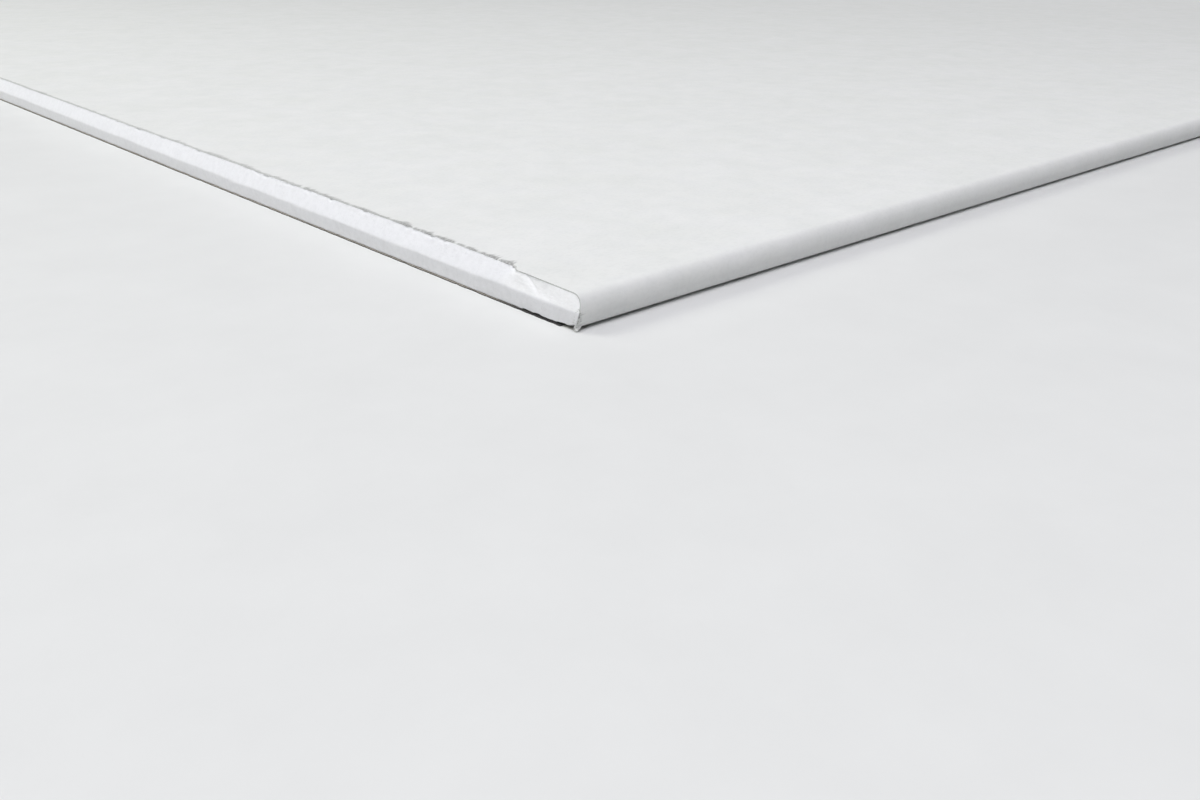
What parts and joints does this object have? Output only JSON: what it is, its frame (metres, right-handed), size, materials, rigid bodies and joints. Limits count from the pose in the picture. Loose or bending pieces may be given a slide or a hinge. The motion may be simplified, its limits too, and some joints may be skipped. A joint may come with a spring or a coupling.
{
  "type": "drywall sheet",
  "caption": "Flat gypsum board with a gypsum core, a smooth face paper wrapped round both tapered half-round long edges, a lapped back paper and bevelled cut ends.",
  "frame": {"origin": "middle of the sheet's back, on the floor that it lies on", "axes": "+X along the sheet's length, towards the plainly cut end; +Y across its width; +Z through its thickness, from the back to the face"},
  "size_m": [2, 1.2, 0.0125],
  "materials": {
    "gypsum": "chalky matt, with fine pores and knife marks on the cut ends",
    "face_paper": "smooth matt paper, pale grey-white",
    "back_paper": "rough recycled liner, brown-grey"
  },
  "bodies": {
    "root": {"gypsum_core": "gypsum", "face_paper": "face_paper", "back_paper": "back_paper"}
  },
  "joints": []
}
